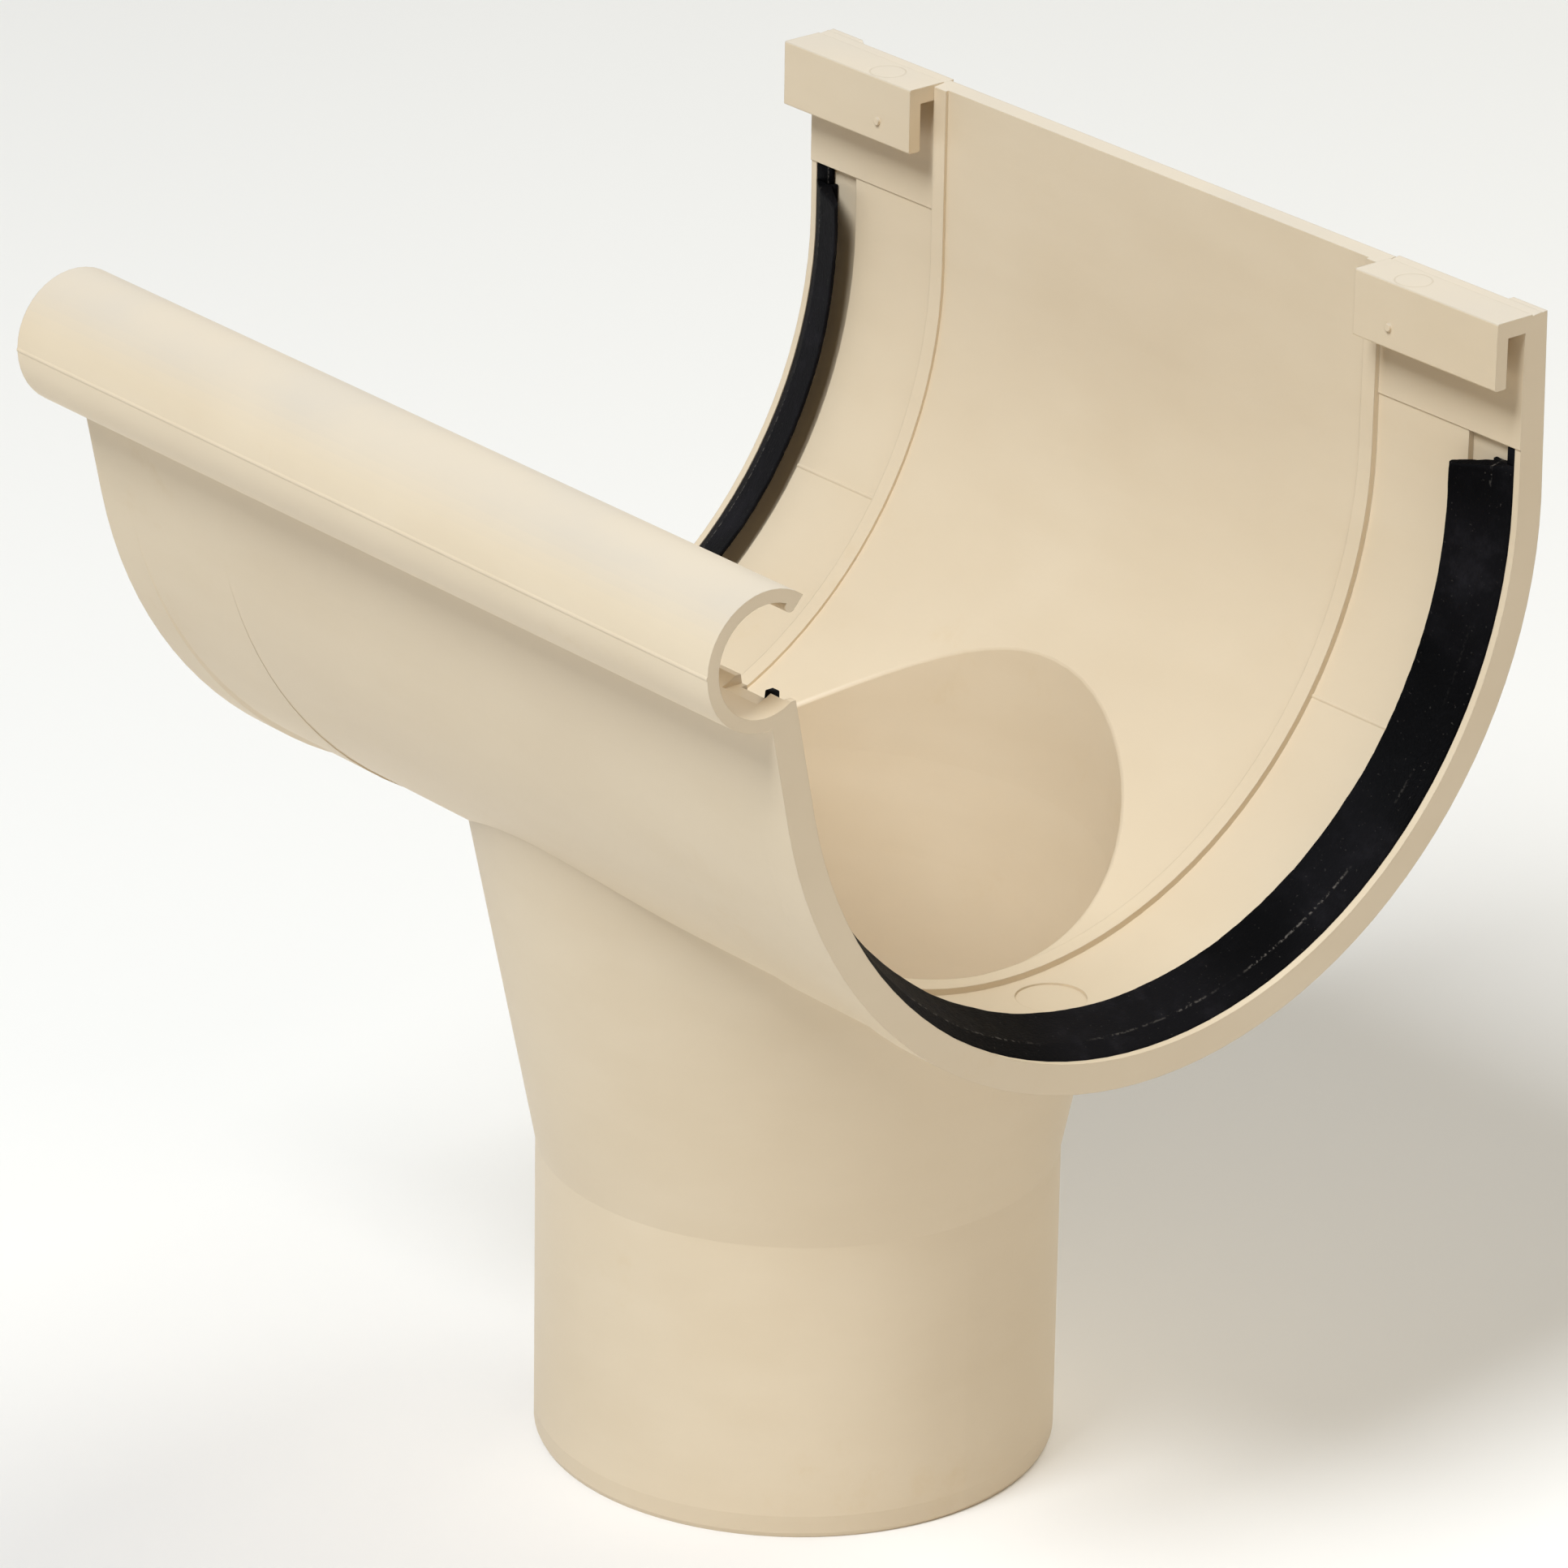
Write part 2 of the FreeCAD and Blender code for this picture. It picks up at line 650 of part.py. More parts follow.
def add_seal_tag(body, label, side):
    """Stand the seal's front tag in the slot of the lip."""
    outer = f"{SLOT_END} - size.seal_clearance"
    inner = f"{outer} - size.seal_tag_width"
    start_up = f"{SEAL_FRONT_UP} - size.seal_base"
    near = f"{lean_point(GROOVE_RADIUS, start_up)[0]} + size.seal_clearance"
    far = f"{near} + size.seal_base"
    section = new_sketch(body, f"{label}_tag_section", "XY_Plane", start_up)
    outline(section, [(f"{side} * ({along})", across) for along, across in
                      [(outer, near), (outer, far), (inner, far), (inner, near)]])
    extrude(body, "Pad", section,
            "size.seal_front_drop + size.seal_base - size.seal_tag_drop", f"{label}_tag")


def check_document(doc):
    """Stop if any object of the document failed."""
    for item in doc.Objects:
        if "Invalid" in item.State or "Error" in item.State:
            raise RuntimeError(f"{item.Name} failed: {item.State}")


def export(bodies):
    """Write each piece to its own file, once it has proved sound."""
    for body in bodies:
        if body.Shape.isNull() or not body.Shape.isValid():
            raise RuntimeError(f"{body.Label} has no valid shape")
    os.makedirs("parts", exist_ok=True)
    for body in bodies:
        body.Shape.exportStep(f"parts/{body.Label}.step")


def main():
    """Build the outlet and write its pieces."""
    doc = FreeCAD.newDocument("gutter_outlet")
    make_sheet(doc)
    bodies = [
        make_outlet(doc),
        make_seal(doc, "left_seal", -1),
        make_seal(doc, "right_seal", 1),
    ]
    doc.recompute()
    check_document(doc)
    export(bodies)


main()
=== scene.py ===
"""Looks of a sand-coloured gutter outlet with a black lip seal in each socket."""

import math

import bmesh
import bpy
from mathutils import Matrix, Vector, noise


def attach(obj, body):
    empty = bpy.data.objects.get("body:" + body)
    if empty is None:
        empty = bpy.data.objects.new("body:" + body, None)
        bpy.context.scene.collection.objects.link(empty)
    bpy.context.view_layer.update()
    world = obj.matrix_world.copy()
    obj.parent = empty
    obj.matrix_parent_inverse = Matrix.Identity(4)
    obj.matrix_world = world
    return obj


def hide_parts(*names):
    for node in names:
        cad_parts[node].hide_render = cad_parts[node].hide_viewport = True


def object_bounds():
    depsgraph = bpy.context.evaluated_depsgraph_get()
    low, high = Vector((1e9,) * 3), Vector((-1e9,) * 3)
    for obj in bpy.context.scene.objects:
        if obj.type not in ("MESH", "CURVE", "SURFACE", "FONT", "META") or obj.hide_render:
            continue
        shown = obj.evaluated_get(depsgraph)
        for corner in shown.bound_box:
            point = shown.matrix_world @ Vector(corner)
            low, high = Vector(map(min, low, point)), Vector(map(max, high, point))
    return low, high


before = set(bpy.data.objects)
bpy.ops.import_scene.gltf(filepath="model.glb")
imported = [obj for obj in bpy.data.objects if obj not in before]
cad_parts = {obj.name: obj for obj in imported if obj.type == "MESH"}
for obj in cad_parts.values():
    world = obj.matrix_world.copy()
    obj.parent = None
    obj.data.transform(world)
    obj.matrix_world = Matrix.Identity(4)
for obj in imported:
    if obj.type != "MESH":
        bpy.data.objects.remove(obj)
cad_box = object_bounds()

MM = 0.001

# Camera: where it looks, from which side and how far away
VIEW_AZIMUTH = 49.72
VIEW_ELEVATION = 23.30
VIEW_ROLL = 0.93
VIEW_TARGET = Vector((-5.45, 0.68, 104.13)) * MM
VIEW_DISTANCE = 1380.71 * MM
VIEW_LENS = 211.07

# Light, as shares of a plain level
WORLD_LEVEL = 0.03
SEEN_LEVEL = 0.88
WORLD_TINT = (1.0, 0.985, 0.96)
LAMP_DISTANCE = 2.2
KEY = {"azimuth": 8.0, "elevation": 54.0, "level": 0.95, "width": 0.9,
       "tint": (0.95, 1.0, 1.055)}
REAR = {"azimuth": 180.0, "elevation": 55.0, "level": 0.59, "width": 1.6,
        "tint": (1.0, 1.0, 0.94)}
SIDE = {"azimuth": 88.0, "elevation": 28.0, "level": 0.155, "width": 1.6,
        "tint": (1.16, 1.0, 0.83)}
FLOOR_REACH = 6.0

# Section of the trough that the seals follow, in millimetres
SOCKET_RADIUS = 67.5
TROUGH_AXIS_UP = 159.5
FRONT_LEAN = math.radians(11.5)
SOCKET_MOUTH = cad_box[1].x / MM

# Seal: places from the socket's mouth, radii from the trough's axis, heights from the floor
SEAL_OUTER = 1.35
SEAL_SHOULDER = 4.15
SEAL_ROOT = 4.75
SEAL_INNER = 10.65
SEAL_BASE_END = 5.6
SEAL_FLOOR_RADIUS = 68.35
SEAL_TOP_RADIUS = 67.45
SEAL_SHOULDER_RADIUS = 65.7
SEAL_TIP_RADIUS = 63.3
SEAL_TIP_THICKNESS = 0.7
SEAL_BACK_END = 165.4
SEAL_FRONT_END = 159.0
SEAL_ROUNDING = 0.28
SEAL_STATIONS = 260
SEAL_EDGE_STEP = 0.45
SEAL_WAVE = 0.16
SEAL_CUT = 0.22
WAVE_GRAIN = 0.09
RIPPLE_GRAIN = 9.0
CUT_GRAIN = 0.9
TIP_SAG = 1.2
SAG_STATIONS = 6

# Strip above the seal's back end, and tag at its front end
LEFT_STRIP_WIDTH = 3.4
RIGHT_STRIP_WIDTH = 1.4
STRIP_TOP = 168.05
STRIP_OVERLAP = 1.0
TAG_NEAR = 4.35
TAG_WIDTH = 2.4
TAG_SLANT = 0.9
BLOCK_ROUNDING = 0.12
TAG_TOP = 164.1
TAG_FOOT = 158.0
TAG_FRONT = -70.5
TAG_BACK = -69.03


class Wire:
    """A socket of a material's nodes, whose arithmetic adds the nodes that it needs."""

    def __init__(self, shader, socket):
        self.shader = shader
        self.socket = socket

    def maths(self, operation, *others):
        sockets = dict(enumerate((self, *others)))
        return self.shader.node("ShaderNodeMath", {"operation": operation}, sockets)

    def flipped(self, operation, other):
        sockets = {0: other, 1: self}
        return self.shader.node("ShaderNodeMath", {"operation": operation}, sockets)

    def __add__(self, other):
        return self.maths("ADD", other)

    def __sub__(self, other):
        return self.maths("SUBTRACT", other)

    def __mul__(self, other):
        return self.maths("MULTIPLY", other)

    def __truediv__(self, other):
        return self.maths("DIVIDE", other)

    def __radd__(self, other):
        return self.flipped("ADD", other)

    def __rsub__(self, other):
        return self.flipped("SUBTRACT", other)

    def __rmul__(self, other):
        return self.flipped("MULTIPLY", other)

    def __rtruediv__(self, other):
        return self.flipped("DIVIDE", other)

    def between(self, low, high):
        """Rise smoothly from 0 at low to 1 at high."""
        sockets = {"Value": self, "From Min": low, "From Max": high}
        return self.shader.node("ShaderNodeMapRange", {"interpolation_type": "SMOOTHSTEP"}, sockets)

    def near(self, place, reach):
        """Give 1 at a place, falling smoothly to 0 at a distance from it."""
        return 1 - (self - place).maths("ABSOLUTE").between(0.0, reach)


class Shader:
    """A new material, with one way to add any node to it."""

    def __init__(self, name):
        self.material = bpy.data.materials.new(name)
        self.material.use_nodes = True
        self.tree = self.material.node_tree
        self.surface = self.tree.nodes["Principled BSDF"]

    def node(self, kind, settings=None, sockets=None, output=0):
        """Add a node: its settings first, then the values or links of its sockets."""
        made = self.tree.nodes.new(kind)
        for name, value in (settings or {}).items():
            setattr(made, name, value)
        self.fill(made, sockets or {})
        return Wire(self, made.outputs[output])

    def fill(self, made, sockets):
        for name, value in sockets.items():
            if isinstance(value, Wire):
                self.tree.links.new(value.socket, made.inputs[name])
            else:
                made.inputs[name].default_value = value

    def finish(self, **sockets):
        """Set the surface's own sockets, named with underscores for spaces."""
        self.fill(self.surface, {name.replace("_", " "): v for name, v in sockets.items()})
        return self.material

    def place(self):
        """Give the point on the object in millimetres, as a vector."""
        point = self.node("ShaderNodeTexCoord", output="Object")
        settings = {"operation": "SCALE"}
        return self.node("ShaderNodeVectorMath", settings, {0: point, "Scale": 1 / MM})

    def split(self, vector):
        """Give the three parts of a vector."""
        made = self.tree.nodes.new("ShaderNodeSeparateXYZ")
        self.tree.links.new(vector.socket, made.inputs[0])
        return [Wire(self, made.outputs[axis]) for axis in range(3)]

    def grain(self, place, size, detail=2.0, stretch=(1, 1, 1), roughness=0.5):
        """Give noise from 0 to 1 whose lumps are about a size in millimetres."""
        scaled = self.node("ShaderNodeVectorMath", {"operation": "MULTIPLY"},
                           {0: place, 1: [share / size for share in stretch]})
        sockets = {"Vector": scaled, "Scale": 1.0, "Detail": detail, "Roughness": roughness}
        return self.node("ShaderNodeTexNoise", None, sockets)

    def blend(self, share, first, last):
        """Mix two colours."""
        made = self.tree.nodes.new("ShaderNodeMix")
        made.data_type = "RGBA"
        ends = {"Factor": made.inputs[0], "A": made.inputs[6], "B": made.inputs[7]}
        for name, value in (("Factor", share), ("A", first), ("B", last)):
            if isinstance(value, Wire):
                self.tree.links.new(value.socket, ends[name])
            else:
                ends[name].default_value = value if name == "Factor" else (*value, 1.0)
        return Wire(self, made.outputs[2])

    def relief(self, height, depth, base=None):
        """Give the normal of a surface raised by a height map of a depth in millimetres."""
        sockets = {"Height": height, "Distance": depth * MM, "Strength": 1.0}
        if base is not None:
            sockets["Normal"] = base
        return self.node("ShaderNodeBump", None, sockets)


def linear(red, green, blue):
    """Turn a screen colour from 0 to 255 into light."""
    shares = [value / 255 for value in (red, green, blue)]
    return tuple(s / 12.92 if s <= 0.04045 else ((s + 0.055) / 1.055) ** 2.4 for s in shares)


# Colours as the screen shows them
SAND = linear(221, 203, 174)
SAND_LIGHT = linear(225, 208, 180)
SAND_DEEP = linear(216, 197, 166)
SAND_SHADE = linear(176, 158, 128)
# Paler colour of the painted light on up-facing faces near the top
SAND_TOP_LIT = linear(206, 195, 178)
STAIN = linear(213, 187, 143)
RUBBER = linear(7, 7, 8)
RUBBER_WORN = linear(31, 30, 33)
# Pale colour of the painted highlight along the seal's crease and of its painted glints
RUBBER_GLINT = linear(112, 107, 101)
FLOOR_PALE = linear(243, 241, 238)
FLOOR_DULL = linear(240, 238, 235)

# Roughness, and depths of the relief in millimetres
PLASTIC_ROUGHNESS = 0.48
RUBBER_ROUGHNESS = 0.52
EDGE_ROUNDING = 0.2
PLASTIC_RELIEF = 0.012
RUBBER_RELIEF = 0.10

# Sizes of the lumps in each finish, in millimetres
CLOUD_SIZE = 42.0
STREAK_SIZE = 9.0
SMUDGE_SIZE = 26.0
PORE_SIZE = 0.7
ZONE_SIZE = 34.0
# Length of the stretches where the painted crease highlight shows
HIGHLIGHT_RUN_SIZE = 24.0
SCUFF_SIZE = 7.0
FIBRE_SIZE = 0.45
DOT_SIZE = 0.6
GLINT_SIZE = 0.5
FLOOR_CLOUD_SIZE = 400.0

# Marks that are too fine for the solids, in millimetres
PIN_OUT = 59.0
PIN_BACK = 64.8
PIN_RADIUS = 2.8
PIN_LINE = 0.22
PIN_DEPTH = 0.05
CLIP_TOP = 189.0
# Heights over which painted light makes up-facing faces paler
TOP_LIGHT_FROM = 172.0
TOP_LIGHT_FULL = 182.0
BEAD_NEAR = 68.0
BEAD_FAR = 80.0
LEAD_RISE = 3.6
LEAD_DEPTH = 0.5
CREASE_WIDTH = 0.25


def plastic():
    """Moulded sand-coloured plastic: satin, faintly clouded, with painted light making up-facing
    faces paler near the top, painted shade in the pin rings, and soft edges.
    """
    shader = Shader("sand_plastic")
    place = shader.place()
    along, across, up = shader.split(place)
    out_from_pin = along.maths("ABSOLUTE") - PIN_OUT
    back_from_pin = across - PIN_BACK
    from_pin = (out_from_pin * out_from_pin + back_from_pin * back_from_pin).maths("SQRT")
    pin_line = from_pin.near(PIN_RADIUS, PIN_LINE) * up.between(CLIP_TOP - 0.4, CLIP_TOP - 0.2)
    on_bead = (0 - across).between(BEAD_NEAR, BEAD_FAR)
    lead = up.maths("MINIMUM", LEAD_RISE) / LEAD_RISE
    facing = shader.split(shader.node("ShaderNodeNewGeometry", output="True Normal"))
    # Painted light: up-facing faces near the top are drawn paler
    painted_top_light = facing[2].between(0.10, 0.90) * up.between(TOP_LIGHT_FROM, TOP_LIGHT_FULL)
    cloud = shader.grain(place, CLOUD_SIZE, detail=3.0).between(0.3, 0.7)
    streak = shader.grain(place, STREAK_SIZE, detail=4.0, stretch=(0.35, 0.35, 1))
    streak = streak.between(0.35, 0.75)
    colour = shader.blend(cloud, SAND, SAND_LIGHT)
    colour = shader.blend(streak * 0.30, colour, SAND_DEEP)
    smudge = shader.grain(place, SMUDGE_SIZE, detail=6.0, roughness=0.7).between(0.60, 0.80)
    colour = shader.blend(smudge * (0.35 + 0.4 * on_bead), colour, STAIN)
    # Painted light on up-facing faces near the top
    colour = shader.blend(painted_top_light * (0.75 + 0.35 * streak), colour, SAND_TOP_LIT)
    # Painted shade in the groove of each pin mark's ring
    colour = shader.blend(pin_line * 0.35, colour, SAND_SHADE)
    pore = shader.grain(place, PORE_SIZE, detail=3.0)
    rough = PLASTIC_ROUGHNESS + 0.10 * (cloud - 0.5) + 0.08 * (pore - 0.5)
    rounded = shader.node("ShaderNodeBevel", {"samples": 6}, {"Radius": EDGE_ROUNDING * MM})
    tapered = shader.relief(lead, LEAD_DEPTH, rounded)
    marked = shader.relief(1 - pin_line, PIN_DEPTH, tapered)
    normal = shader.relief(pore, PLASTIC_RELIEF, marked)
    return shader.finish(Base_Color=colour, Roughness=rough, Normal=normal, IOR=1.48,
                         Specular_IOR_Level=0.5)


def rubber():
    """Black seal rubber: mottled, with a painted highlight along its crease and a few pale painted
    glints.
    """
    shader = Shader("black_rubber")
    place = shader.place()
    out_along = shader.split(place)[0].maths("ABSOLUTE")
    crease = out_along.near(SOCKET_MOUTH - SEAL_SHOULDER, CREASE_WIDTH)
    scuff = shader.grain(place, SCUFF_SIZE, detail=5.0, roughness=0.65).between(0.45, 0.75)
    fibre = shader.grain(place, FIBRE_SIZE, detail=4.0, stretch=(2.0, 0.6, 0.6))
    zone = shader.grain(place, ZONE_SIZE, detail=1.0).between(0.44, 0.62)
    dots = shader.grain(place, DOT_SIZE, detail=2.0).between(0.44, 0.60)
    highlight_run = shader.grain(place, HIGHLIGHT_RUN_SIZE, detail=1.0).between(0.46, 0.58)
    glint = shader.grain(place, GLINT_SIZE, detail=1.0).between(0.70, 0.80)
    wear = zone * (0.35 + 0.65 * scuff) * (0.5 + fibre) + 0.12 * scuff
    colour = shader.blend(wear, RUBBER, RUBBER_WORN)
    # Painted highlight: a broken pale line along the seal's shoulder crease
    colour = shader.blend(crease * dots * highlight_run * 0.7, colour, RUBBER_GLINT)
    # Painted glints: a few sparse pale specks
    colour = shader.blend(glint * 0.16, colour, RUBBER_GLINT)
    rough = RUBBER_ROUGHNESS + 0.20 * wear + 0.20 * (fibre - 0.5)
    normal = shader.relief(fibre + 0.6 * scuff, RUBBER_RELIEF)
    return shader.finish(Base_Color=colour, Roughness=rough, Normal=normal, IOR=1.50,
                         Specular_IOR_Level=0.02)


def floor_paint():
    """Matt near-white floor."""
    shader = Shader("pale_floor")
    place = shader.place()
    cloud = shader.grain(place, FLOOR_CLOUD_SIZE, detail=2.0)
    colour = shader.blend(cloud, FLOOR_DULL, FLOOR_PALE)
    return shader.finish(Base_Color=colour, Roughness=0.9, Specular_IOR_Level=0.1)


def seal_line(share):
    """Give the point on the socket's wall, and the way out of it, at a share of the run."""
    back = SEAL_BACK_END - TROUGH_AXIS_UP
    turn = math.pi - FRONT_LEAN
    arc = SOCKET_RADIUS * turn
    lean_foot = TROUGH_AXIS_UP - SOCKET_RADIUS * math.sin(FRONT_LEAN)
    front = (SEAL_FRONT_END - lean_foot) / math.cos(FRONT_LEAN)
    run = share * (back + arc + front)
    if run < back:
        return Vector((0, SOCKET_RADIUS, SEAL_BACK_END - run)), Vector((0, 1, 0))
    if run < back + arc:
        angle = (run - back) / SOCKET_RADIUS
        outward = Vector((0, math.cos(angle), -math.sin(angle)))
        return Vector((0, 0, TROUGH_AXIS_UP)) + outward * SOCKET_RADIUS, outward
    outward = Vector((0, -math.cos(FRONT_LEAN), -math.sin(FRONT_LEAN)))
    climb = Vector((0, -math.sin(FRONT_LEAN), math.cos(FRONT_LEAN)))
    foot = Vector((0, 0, TROUGH_AXIS_UP)) + outward * SOCKET_RADIUS
    return foot + climb * (run - back - arc), outward


def softened(corners, radius, steps=3):
    """Round each corner of an outline, and put points along its straight runs."""
    points = []
    for index, corner in enumerate(corners):
        before = corners[index - 1] - corner
        after = corners[(index + 1) % len(corners)] - corner
        reach = min(radius, before.length * 0.45, after.length * 0.45)
        first = corner + before.normalized() * reach
        last = corner + after.normalized() * reach
        for step in range(steps + 1):
            share = step / steps
            points.append(first.lerp(corner, share).lerp(corner.lerp(last, share), share))
        following = corners[(index + 1) % len(corners)]
        next_reach = min(radius, after.length * 0.45)
        target = following - after.normalized() * next_reach
        count = int((target - last).length / SEAL_EDGE_STEP)
        points.extend(last.lerp(target, (step + 1) / (count + 1)) for step in range(count))
    return points


def seal_section():
    """Give the seal's outline as pairs of distance from the socket's mouth and radius."""
    tip_under = SEAL_TIP_RADIUS + SEAL_TIP_THICKNESS
    corners = [
        (SEAL_OUTER, SEAL_FLOOR_RADIUS),
        (SEAL_OUTER, SEAL_TOP_RADIUS),
        (SEAL_SHOULDER, SEAL_SHOULDER_RADIUS),
        (SEAL_INNER, SEAL_TIP_RADIUS),
        (SEAL_INNER, tip_under),
        (SEAL_ROOT, SEAL_TOP_RADIUS),
        (SEAL_BASE_END, SEAL_TOP_RADIUS),
        (SEAL_BASE_END, SEAL_FLOOR_RADIUS),
    ]
    return softened([Vector((inward, radius, 0)) for inward, radius in corners], SEAL_ROUNDING)


def looseness_at(radius):
    """Give 0 where the seal is held in its groove, rising to 1 at the flap's tip."""
    return max(0.0, (SEAL_TOP_RADIUS - radius) / (SEAL_TOP_RADIUS - SEAL_TIP_RADIUS))


def seal_point(side, share, inward, radius):
    """Place one point of the swept seal, whose flap is a little wavy."""
    wall, outward = seal_line(share)
    looseness = looseness_at(radius)
    sample = wall * WAVE_GRAIN + Vector((side * 40.0, 0, 0))
    wave = noise.noise(sample) + 0.4 * noise.noise(sample * 4.0)
    ripple = noise.noise(sample * RIPPLE_GRAIN + Vector((0, 0, 20.0)))
    radius += looseness * SEAL_WAVE * wave
    inward -= looseness * SEAL_WAVE * 0.8 * abs(ripple)
    point = wall + outward * (radius - SOCKET_RADIUS)
    point.x = side * (SOCKET_MOUTH - inward)
    return point


def cut_offset(side, inward, radius, end):
    """Give how far the cut end of the seal strays at one point of its section."""
    sample = Vector((inward * CUT_GRAIN, radius * CUT_GRAIN, side * 7.0 + end))
    return SEAL_CUT * min(0.0, noise.noise(sample) - 0.15)


def tip_sag(station, radius):
    """Give how far the flap hangs near its back end, which grows towards its tip."""
    nearness = max(0.0, 1 - station / SAG_STATIONS)
    return TIP_SAG * nearness * looseness_at(radius)


def add_object(name, data):
    """Put new data into the scene as an object."""
    made = bpy.data.objects.new(name, data)
    bpy.context.scene.collection.objects.link(made)
    return made


def add_piece(name, mesh):
    """Turn a finished bmesh into an object of the scene."""
    data = bpy.data.meshes.new(name)
    mesh.to_mesh(data)
    mesh.free()
    return add_object(name, data)


def add_block(mesh, low, high, rounding, slant=0.0):
    """Add a box with rounded edges between two corners in millimetres.

    A slant moves the top of its low end towards its high end.
    """
    middle = (low + high) / 2
    size = high - low
    shape = Matrix.Translation(middle) @ Matrix.Diagonal((*[abs(part) for part in size], 1.0))
    made = bmesh.ops.create_cube(mesh, size=1.0, matrix=shape)
    for vertex in made["verts"]:
        if vertex.co.z > middle.z and abs(vertex.co.x - low.x) < abs(vertex.co.x - high.x):
            vertex.co.x += math.copysign(slant, size.x)
    edges = {edge for vertex in made["verts"] for edge in vertex.link_edges}
    bmesh.ops.bevel(mesh, geom=list(edges), offset=rounding, segments=2, affect="EDGES")


def sweep_seal(mesh, side):
    """Sweep the seal's section round the socket, and close its cut ends."""
    section = seal_section()
    rings = []
    for station in range(SEAL_STATIONS + 1):
        share = station / SEAL_STATIONS
        ring = []
        for corner in section:
            point = seal_point(side, share, corner.x, corner.y)
            point.z -= tip_sag(station, corner.y)
            if station == 0:
                point.z += cut_offset(side, corner.x, corner.y, 0.0)
            if station == SEAL_STATIONS:
                point.z += cut_offset(side, corner.x, corner.y, 3.0)
            ring.append(mesh.verts.new(point))
        rings.append(ring)
    count = len(section)
    for lower, upper in zip(rings, rings[1:]):
        for index in range(count):
            following = (index + 1) % count
            mesh.faces.new((lower[index], lower[following], upper[following], upper[index]))
    mesh.faces.new(rings[0])
    mesh.faces.new(list(reversed(rings[-1])))


def add_strip(mesh, side, width):
    """Add the strip that runs up the back wall from the seal's end."""
    outer = side * (SOCKET_MOUTH - SEAL_OUTER)
    inner = side * (SOCKET_MOUTH - SEAL_OUTER - width)
    add_block(mesh, Vector((inner, SEAL_TOP_RADIUS, SEAL_BACK_END - STRIP_OVERLAP)),
              Vector((outer, SEAL_FLOOR_RADIUS, STRIP_TOP)), BLOCK_ROUNDING)


def add_tag(mesh, side):
    """Add the tag that stands in the slot of the front lip."""
    outer = side * (SOCKET_MOUTH - TAG_NEAR)
    inner = side * (SOCKET_MOUTH - TAG_NEAR - TAG_WIDTH)
    add_block(mesh, Vector((inner, TAG_FRONT, TAG_FOOT)),
              Vector((outer, TAG_BACK, TAG_TOP)), BLOCK_ROUNDING, TAG_SLANT)


def make_seal(name, node, side, strip_width, material):
    """Make one seal, with its strip up the back and its tag at the front."""
    mesh = bmesh.new()
    sweep_seal(mesh, side)
    add_strip(mesh, side, strip_width)
    add_tag(mesh, side)
    bmesh.ops.scale(mesh, vec=(MM, MM, MM), verts=mesh.verts)
    bmesh.ops.recalc_face_normals(mesh, faces=mesh.faces)
    piece = add_piece(name, mesh)
    for face in piece.data.polygons:
        face.use_smooth = len(face.vertices) == 4
    piece.data.materials.append(material)
    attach(piece, "root")
    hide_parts(node)


def dress(node, material):
    """Give a carried-over part its finish."""
    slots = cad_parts[node].data.materials
    slots.clear()
    slots.append(material)


def aim(thing, azimuth, elevation, target, distance, roll=0.0):
    """Put a camera or a lamp round a target and turn it to look there."""
    turn = math.radians(azimuth)
    lift = math.radians(elevation)
    flat = math.cos(lift)
    back = Vector((math.sin(turn) * flat, -math.cos(turn) * flat, math.sin(lift)))
    level = Vector((math.cos(turn), math.sin(turn), 0))
    upright = back.cross(level)
    tilt = math.radians(roll)
    right = level * math.cos(tilt) + upright * math.sin(tilt)
    above = back.cross(right)
    rows = (right, above, back)
    turned = Matrix(rows).transposed().to_4x4()
    thing.matrix_world = Matrix.Translation(target + back * distance) @ turned


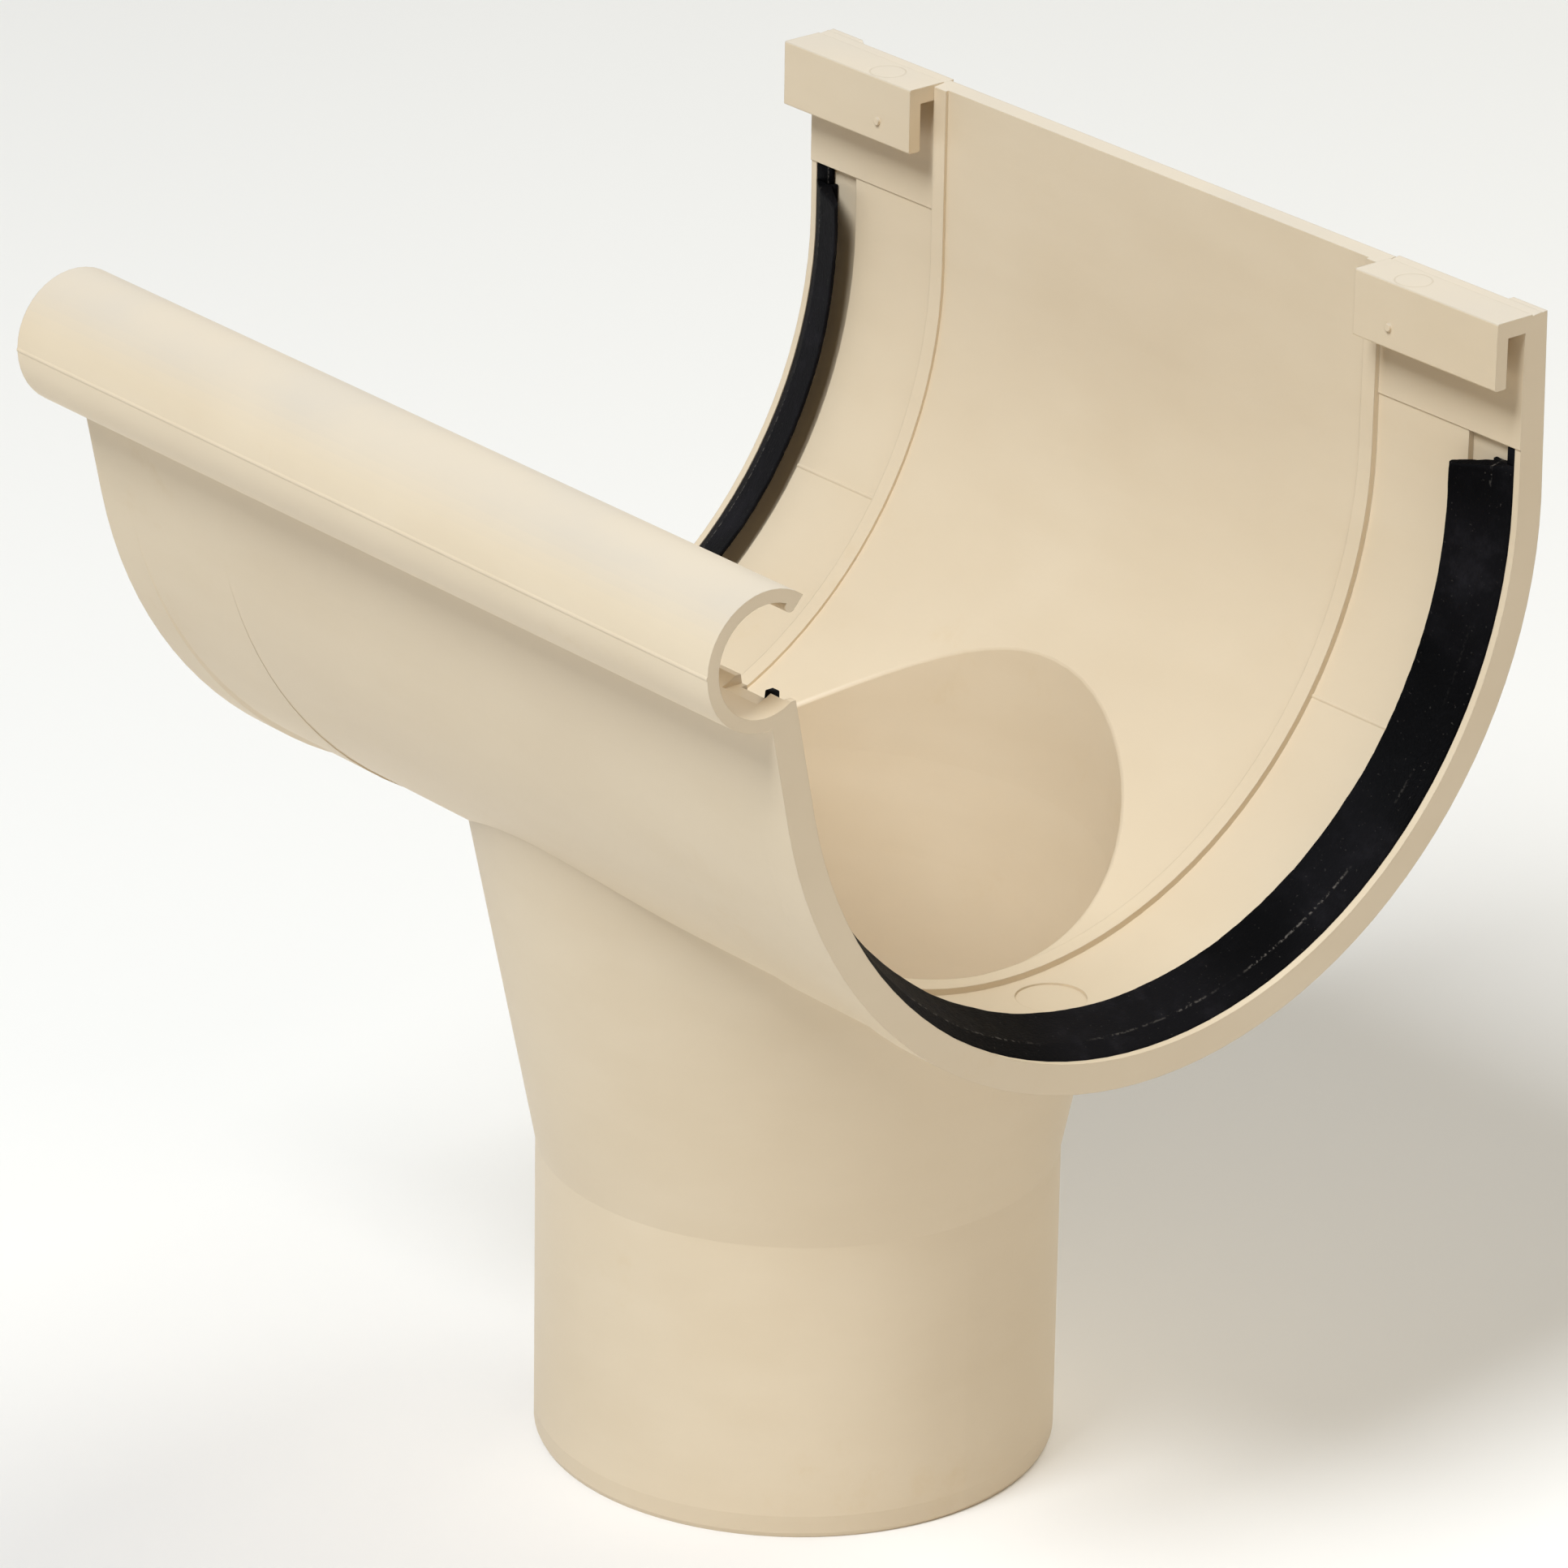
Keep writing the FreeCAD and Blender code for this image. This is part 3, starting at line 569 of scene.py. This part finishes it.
def add_camera():
    """Set the camera at the photograph's angle."""
    data = bpy.data.cameras.new("camera")
    data.lens = VIEW_LENS
    data.sensor_width = 36.0
    data.clip_start = 0.05
    data.clip_end = 50.0
    camera = add_object("camera", data)
    aim(camera, VIEW_AZIMUTH, VIEW_ELEVATION, VIEW_TARGET, VIEW_DISTANCE, VIEW_ROLL)
    bpy.context.scene.camera = camera


def add_lamp(name, azimuth, elevation, level, width, tint):
    """Hang a square soft lamp of a tint that gives a share of the plain level at the object."""
    data = bpy.data.lights.new(name, "AREA")
    data.size = width
    data.energy = level * math.pi ** 2 * LAMP_DISTANCE ** 2
    data.color = tint
    aim(add_object(name, data), azimuth, elevation, VIEW_TARGET, LAMP_DISTANCE)


def add_world():
    """Fill the shade a little from all round, and show near-white behind the floor."""
    world = bpy.data.worlds.new("studio")
    bpy.context.scene.world = world
    world.use_nodes = True
    tree = world.node_tree
    background = tree.nodes["Background"]
    background.inputs["Color"].default_value = (*WORLD_TINT, 1.0)
    path = tree.nodes.new("ShaderNodeLightPath")
    seen = tree.nodes.new("ShaderNodeMath")
    seen.operation = "MAXIMUM"
    tree.links.new(path.outputs["Is Camera Ray"], seen.inputs[0])
    tree.links.new(path.outputs["Is Glossy Ray"], seen.inputs[1])
    level = tree.nodes.new("ShaderNodeMapRange")
    level.inputs["To Min"].default_value = WORLD_LEVEL
    level.inputs["To Max"].default_value = SEEN_LEVEL
    tree.links.new(seen.outputs[0], level.inputs["Value"])
    tree.links.new(level.outputs[0], background.inputs["Strength"])


def add_floor():
    """Lay the floor that the outlet stands on."""
    mesh = bmesh.new()
    bmesh.ops.create_circle(mesh, cap_ends=True, segments=96, radius=FLOOR_REACH)
    floor = add_piece("floor", mesh)
    floor.data.materials.append(floor_paint())


bpy.context.scene.view_settings.view_transform = "Standard"
dress("outlet_body", plastic())
black_rubber = rubber()
make_seal("left_lip_seal", "left_seal", -1, LEFT_STRIP_WIDTH, black_rubber)
make_seal("right_lip_seal", "right_seal", 1, RIGHT_STRIP_WIDTH, black_rubber)
add_world()
add_floor()
add_lamp("key_lamp", **KEY)
add_lamp("rear_lamp", **REAR)
add_lamp("side_lamp", **SIDE)
add_camera()
